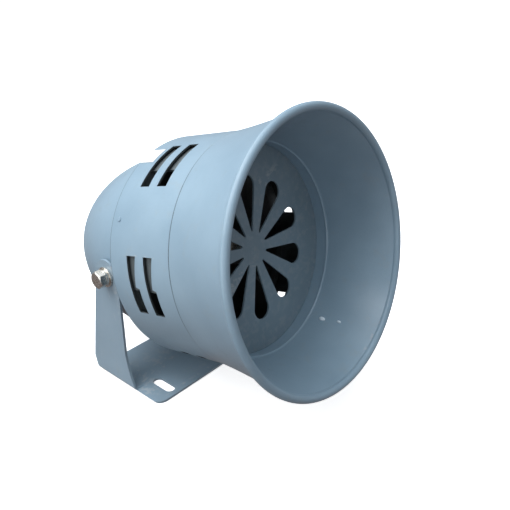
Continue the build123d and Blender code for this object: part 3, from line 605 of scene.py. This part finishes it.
rubber = Finish("black_rubber", specular=0.35)
bloom = rubber.cloud(140, 4, 0.6)
rubber_grain = rubber.cloud(1600, 2)
rubber.coat(
    rubber.blend(bloom, (0.010, 0.010, 0.011), (0.040, 0.040, 0.042)),
    0.62 + bloom * 0.2,
    rubber_grain,
    0.00003,
)
grommet = copy_of("cable_grommet", "grommet")
soften(grommet, 0.35 * MM, 3)
fit(grommet, "head", rubber, "black_rubber", "cable_grommet")

# ---- Slotted drum -----------------------------------------------------------
# Rolled and welded sheet with six groups of two punched sound slots; in every second
# group the slots have a step half-way.  Enamel outside; the near-black primer inside is
# painted shade.

# Near-black primer: painted shade on the drum's inner wall and on edge faces at the seams.
shade_primer = Finish("painted_shade_primer", specular=0.3)
overspray = shade_primer.cloud(120, 5, 0.6)
shade_primer.coat(
    shade_primer.blend(overspray, (0.030, 0.036, 0.038), (0.075, 0.088, 0.094)),
    0.7 + overspray * 0.2,
    overspray,
    0.00008,
)


def line_inside(piece, finish, axis_limit):
    """A second finish on the faces that look at the head's axis from nearer than the limit."""
    piece.data.materials.append(finish.material)
    back = HEAD_PLACE.inverted()
    turn = back.to_3x3()
    for face in piece.data.polygons:
        centre = back @ face.center
        out = Vector((centre.x, 0, centre.z))
        normal = turn @ face.normal
        if out.length < axis_limit and normal.dot(out.normalized()) < 0.3:
            face.material_index = 1


DRUM_R = 72.0
SLOT_STATIONS = (66.9, 81.7)
SLOT_SIZE = (18.0, 7.8, 34.6)
SLOT_TOOTH = 3.0
STEP_TOP = -0.5
STEP_FOOT = -1.5
DRUM_T = 1.15

drum_outline = [(71.75, 48.7), (71.95, 48.8), (DRUM_R, 49.1), (DRUM_R, 60.0), (DRUM_R, 75.0), (DRUM_R, 90.0)]
drum_outline += [(DRUM_R, 101.2), (71.9, 101.6), (71.6, 101.8)]
drum = spun("slotted_drum", drum_outline, facets=240)
face_skin(drum, outwards=True)
apply_modifier(drum, "SOLIDIFY", thickness=DRUM_T * MM, offset=-1, use_even_offset=True)

for punch_station in SLOT_STATIONS:
    for tooth, turned in ((SLOT_TOOTH, 0), (0.0, 60)):
        begin()
        bpy.ops.mesh.primitive_cube_add(size=1, location=(-DRUM_R * MM, punch_station * MM, 0))
        punch = bpy.context.object
        punch.scale = [side * MM for side in SLOT_SIZE]
        bpy.ops.object.transform_apply(location=True, rotation=True, scale=True)
        bpy.ops.object.mode_set(mode="EDIT")
        for height in (STEP_TOP, STEP_FOOT):
            bpy.ops.mesh.select_all(action="SELECT")
            bpy.ops.mesh.bisect(plane_co=(0, 0, height * MM), plane_no=(0, 0, 1))
        bpy.ops.mesh.select_all(action="DESELECT")
        bpy.ops.object.mode_set(mode="OBJECT")
        for corner in punch.data.vertices:
            corner.select = abs(corner.co.z - STEP_TOP * MM) < 0.01 * MM and corner.co.y < punch_station * MM
        bpy.ops.object.mode_set(mode="EDIT")
        bpy.ops.transform.translate(value=(0, tooth * MM, 0))
        bpy.ops.mesh.select_all(action="SELECT")
        bpy.ops.transform.rotate(value=math.radians(turned), orient_axis="Y", center_override=(0, 0, 0))
        bpy.ops.mesh.spin(steps=2, angle=math.radians(240), dupli=True, center=(0, 0, 0), axis=(0, 1, 0))
        bpy.ops.object.mode_set(mode="OBJECT")
        cut_with(drum, punch)
soften(drum, 0.2 * MM)
place_on_head(drum)
# The dark lines at the drum's front and rear seams are painted shade.
drum_paint = enamel("drum_enamel", shaded_seams=((48.95, 0.3), (101.6, 0.45)))
drum.data.materials.append(drum_paint.material)
# The drum's inner wall gets the near-black primer: painted shade inside the drum.
line_inside(drum, shade_primer, 71.6 * MM)


def darken_beyond(piece, finish, near, far):
    """The second finish on faces outside two stations: painted shade on the edges at a seam."""
    back = HEAD_PLACE.inverted()
    if len(piece.data.materials) < 2:
        piece.data.materials.append(finish.material)
    for face in piece.data.polygons:
        if not near * MM < (back @ face.center).y < far * MM:
            face.material_index = 1


# The drum's front and rear edge faces get the near-black primer: painted shade at the seams.
darken_beyond(drum, shade_primer, 48.95, 101.45)
fit(drum, "head", drum_paint, "painted_sheet", "slotted_body")

# ---- Petal plate ------------------------------------------------------------
# The pressed front plate: ten petal-shaped openings round a plain middle, and a rim turned
# back into the horn's neck, where three rivets hold it.

petal_plate = copy_of("stator_plate", "petal_plate")
soften(petal_plate, 0.3 * MM)
# The plate's enamel is a darker copy of the body's: painted shade deep in the horn's throat.
shaded_plate_paint = enamel("plate_enamel_painted_shade", light=(0.20, 0.275, 0.33), deep=(0.17, 0.24, 0.29))
fit(petal_plate, "head", shaded_plate_paint, "painted_bell", "stator_plate")
neck_rivets = copy_of("stator_rivets", "neck_rivets")
soften(neck_rivets, 0.2 * MM)
fit(neck_rivets, "head", zinc, "zinc", "stator_rivets")

# ---- Horn -------------------------------------------------------------------
# The spun bell: a neck, a flare that bows inwards, and a lip rolled back on itself.  The
# rings of the spinning tool still show a little under the enamel.

LIP_R = 80.0
BEAD_R = 2.5
NECK_R = 65.4


def bowed(start, middle, end, steps):
    """Points of the arc through three points (radius, station)."""
    a, b, c = (Vector(point) for point in (start, middle, end))
    d = 2 * (a.x * (b.y - c.y) + b.x * (c.y - a.y) + c.x * (a.y - b.y))
    aa, bb, cc = a.length_squared, b.length_squared, c.length_squared
    centre = Vector(
        (
            (aa * (b.y - c.y) + bb * (c.y - a.y) + cc * (a.y - b.y)) / d,
            (aa * (c.x - b.x) + bb * (a.x - c.x) + cc * (b.x - a.x)) / d,
        )
    )
    radius = (a - centre).length
    first = math.degrees(math.atan2(a.y - centre.y, a.x - centre.x))
    last = math.degrees(math.atan2(c.y - centre.y, c.x - centre.x))
    last = first + (last - first + 180) % 360 - 180
    return arc(centre, radius, first, last, steps)


horn_outline = [(NECK_R, 59.0), (NECK_R, 52.0), (NECK_R, 46.4)]
horn_outline += arc((NECK_R, 45.6), 0.6, 110, 250, 6)
horn_outline += bowed((65.6, 44.5), (70.1, 22.9), (77.66, 0.85), 40)
horn_outline += arc((LIP_R, 0), BEAD_R, 160, 470, 36)
bell = spun("horn_bell", horn_outline, facets=256)
face_skin(bell, outwards=False)
thicken(bell, 0.9 * MM, 0.2 * MM)
place_on_head(bell)
horn_paint = enamel("horn_enamel", rings=1.2)
fit(bell, "head", horn_paint, "painted_bell", "horn")

# ---- Paint drops ------------------------------------------------------------
# Two glossy drops of enamel that dried inside the flare, low on the right; their near-white
# colour is a painted highlight.  They stand a little proud of it.

HORN_DROPS = (((32.3, -68.0, 41.1), 1.7), ((34.9, -79.5, 42.1), 1.1))
DROP_SHAPE = (0.9, 1.3, 0.75)
drop_highlight_paint = Finish("enamel_drop_painted_highlight", specular=0.9)
drop_skin = drop_highlight_paint.cloud(600, 2)
# The near-white colour is a painted highlight on the drops.
drop_highlight_paint.coat(drop_highlight_paint.blend(drop_skin, (0.70, 0.82, 0.92), (0.78, 0.88, 0.95)), 0.08 + drop_skin * 0.06)
for number, (middle, size) in enumerate(HORN_DROPS):
    begin()
    place = [side * MM for side in middle]
    bpy.ops.mesh.primitive_uv_sphere_add(segments=24, ring_count=12, radius=size * MM, location=place)
    drop = bpy.context.object
    drop.name = f"paint_drop_{number}"
    bpy.ops.object.transform_apply(location=True, rotation=True, scale=True)
    bpy.ops.object.mode_set(mode="EDIT")
    bpy.ops.mesh.select_all(action="SELECT")
    bpy.ops.transform.resize(value=DROP_SHAPE, center_override=place)
    bpy.ops.object.mode_set(mode="OBJECT")
    bpy.ops.object.shade_smooth_by_angle(angle=math.radians(60))
    drop.data.materials.append(drop_highlight_paint.material)
    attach(drop, "head")

# ---- Horn shell -------------------------------------------------------------
# The outer skin from the lip to the drum, rolled from sheet.  Its rear edge stands out a
# little past the drum, and a spigot behind it slides inside.

shell_outline = bowed((79.6, 2.7), (75.45, 25.45), (72.5, 47.95), 32)
shell_outline += arc((72.2, 48.0), 0.3, 20, 90, 3)
shell_outline += [(71.6, 48.32), (70.9, 48.35)]
shell_outline += arc((70.9, 48.55), 0.2, 270, 180, 3)
shell_outline += [(70.7, 50.0), (70.7, 54.8)]
shell = spun("horn_shell_skin", shell_outline, facets=256)
face_skin(shell, outwards=True)
thicken(shell, 0.9 * MM, 0.2 * MM)
place_on_head(shell)
# The dark line at the seam with the drum and the near-black rear edge and spigot are painted shade.
shell_paint = enamel("shell_enamel", shaded_seams=((48.4, 0.3),))
shell.data.materials.append(shell_paint.material)
darken_beyond(shell, shade_primer, 0.0, 48.28)
fit(shell, "head", shell_paint, "painted_sheet", "horn_shell")

# ---- Mounting bracket -------------------------------------------------------
# One strip of sheet steel bent into a U: a base with two fixing slots and two tapered arms
# with a small relief notch at each bend.  The same enamel, sprayed after bending.

strip = copy_of("mounting_bracket", "u_bracket")
soften(strip, 0.3 * MM, 3)
bracket_paint = enamel("bracket_enamel", light=(0.285, 0.39, 0.475), deep=(0.245, 0.34, 0.42))
fit(strip, "bracket", bracket_paint, "painted_sheet", "mounting_bracket")

# ---- Pivot hardware ---------------------------------------------------------
# An M6 hex bolt with a split washer and a flat washer on each side, bright zinc plated,
# and a spacer ring between each arm and the dome.

for node, name, edge in (
    ("pivot_bolts", "hex_bolts", 0.3 * MM),
    ("spring_washers", "split_washers", 0.2 * MM),
    ("flat_washers", "plain_washers", 0.25 * MM),
    ("pivot_spacers", "spacer_rings", 0.15 * MM),
):
    hardware = copy_of(node, name)
    soften(hardware, edge, 3)
    fit(hardware, "head", zinc, "zinc", node)

# ---- Flange screws and side rivets ------------------------------------------
# Pan-head screws from behind clamp the dome's flange to the motor plate.  Three small
# rivets, sprayed over with the drum, hold the drum's rear edge on the plate's rim.

flange_screws = copy_of("flange_screws", "pan_screws")
soften(flange_screws, 0.2 * MM)
fit(flange_screws, "head", zinc, "zinc", "flange_screws")
side_rivets = copy_of("side_rivets", "drum_rivets")
soften(side_rivets, 0.15 * MM)
fit(side_rivets, "head", drum_paint, "zinc", "side_rivets")

# ---- Label ------------------------------------------------------------------
# A blank white film sticker on top of the drum, behind the slots.  Nothing is printed
# on it.

film = Finish("label_film", specular=0.5)
wrinkle = film.cloud(220, 3)
yellowing = film.cloud(70, 3)
film.coat(
    film.blend(yellowing, (0.80, 0.80, 0.78), (0.90, 0.90, 0.89)),
    0.28 + yellowing * 0.15,
    wrinkle,
    0.00006,
)
sticker = copy_of("label", "blank_sticker")
soften(sticker, 0.06 * MM)
fit(sticker, "head", film, "label_film", "label")
